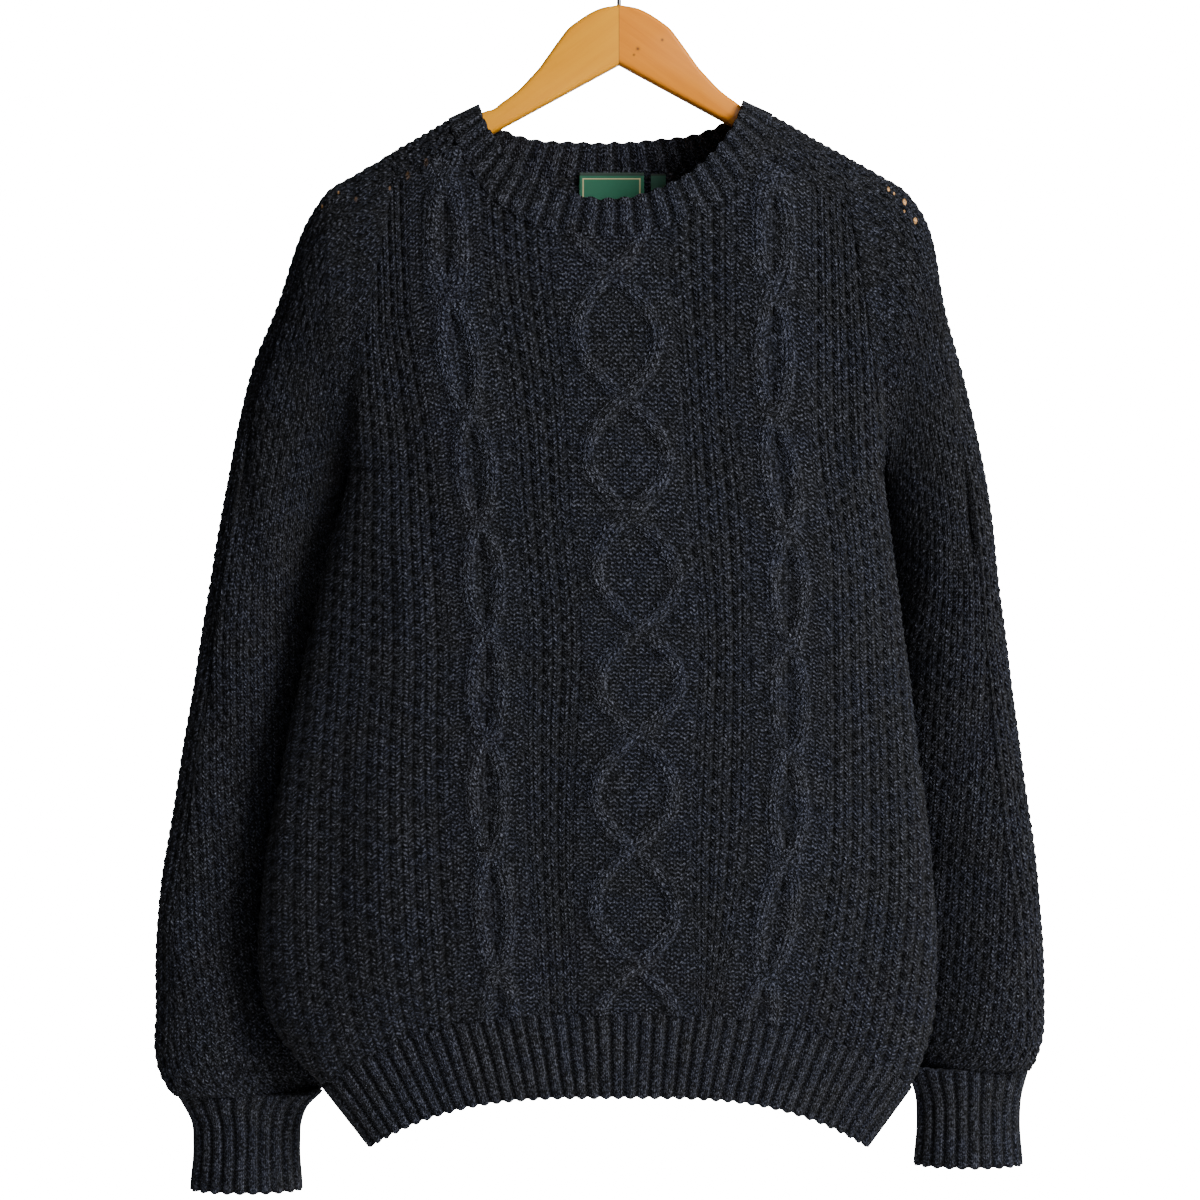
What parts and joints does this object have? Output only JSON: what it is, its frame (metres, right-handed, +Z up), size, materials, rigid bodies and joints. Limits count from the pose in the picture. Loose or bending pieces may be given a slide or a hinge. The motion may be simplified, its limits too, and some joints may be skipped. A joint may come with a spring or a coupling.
{
  "type": "aran sweater on a wooden hanger",
  "caption": "Cable-knit wool pullover with a round ribbed neck, ribbed cuffs and hem, hanging on a flat wooden hanger with a wire hook.",
  "frame": {"origin": "top of the inside of the hanger's hook, where a rail carries it", "axes": "+Z up; the front of the sweater faces -Y; +X is to the right as seen from the front"},
  "size_m": [0.6369, 0.1349, 0.9185],
  "materials": {
    "wool": "dark navy heather wool, heavy cable and waffle knit",
    "green_tape": "woven tape",
    "wood": "golden varnish over fine straight grain",
    "wire": "dark drawn wire"
  },
  "bodies": {
    "root": {"front_panel": "wool", "back_panel": "wool", "left_sleeve": "wool", "right_sleeve": "wool", "neckband": "wool", "front_hem_rib": "wool", "back_hem_rib": "wool", "left_cuff": "wool", "right_cuff": "wool", "neck_label": "green_tape", "size_tab": "green_tape", "hanger_arm_left": "wood", "hanger_arm_right": "wood", "hanger_hook": "wire"}
  },
  "joints": []
}
